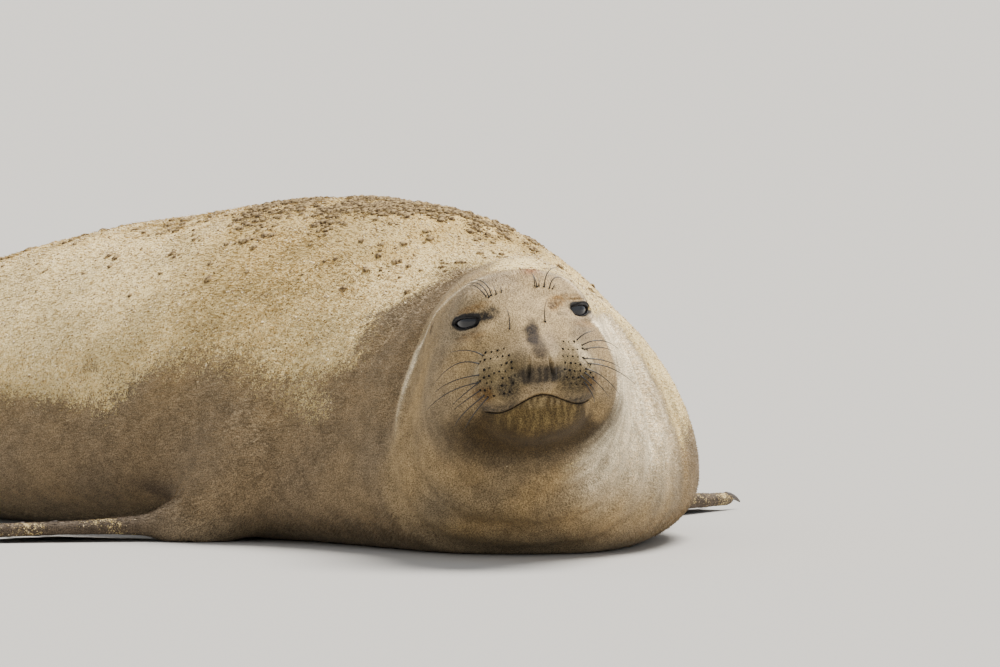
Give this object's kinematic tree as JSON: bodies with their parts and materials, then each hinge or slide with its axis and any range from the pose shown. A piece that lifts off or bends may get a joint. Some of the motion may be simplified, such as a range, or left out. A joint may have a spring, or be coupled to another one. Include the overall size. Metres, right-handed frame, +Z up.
{
  "type": "elephant seal",
  "caption": "Life-size still model of a cow elephant seal lying on her belly with the head raised and turned, whiskered muzzle, clawed fore flippers and webbed hind flippers.",
  "frame": {"origin": "on the floor under the middle of the whole animal", "axes": "+Z up; +Y along the trunk towards the tail; +X to the seal's left; the head is at the -Y end, turned to her right"},
  "size_m": [1.434, 2.8608, 0.5087],
  "materials": {
    "coat": "short tan fur coated with dry golden sand",
    "face_coat": "short silvery tan fur, stained yellow and brown round the mouth and eyes",
    "flipper_skin": "dark brown, bare, wrinkled skin",
    "eye": "wet and nearly black",
    "claw": "dark horn, worn at the tips",
    "whisker": "dark stiff hair",
    "sand": "loose grains and damp crumbs"
  },
  "bodies": {
    "root": {"head": "face_coat", "lower_jaw": "face_coat", "eye_left": "eye", "eye_right": "eye", "neck": "coat", "chest": "coat", "belly": "coat", "hips": "coat", "tail": "coat", "fore_flipper_left": "flipper_skin", "fore_flipper_right": "flipper_skin", "hind_flipper_left": "flipper_skin", "hind_flipper_right": "flipper_skin"}
  },
  "joints": []
}
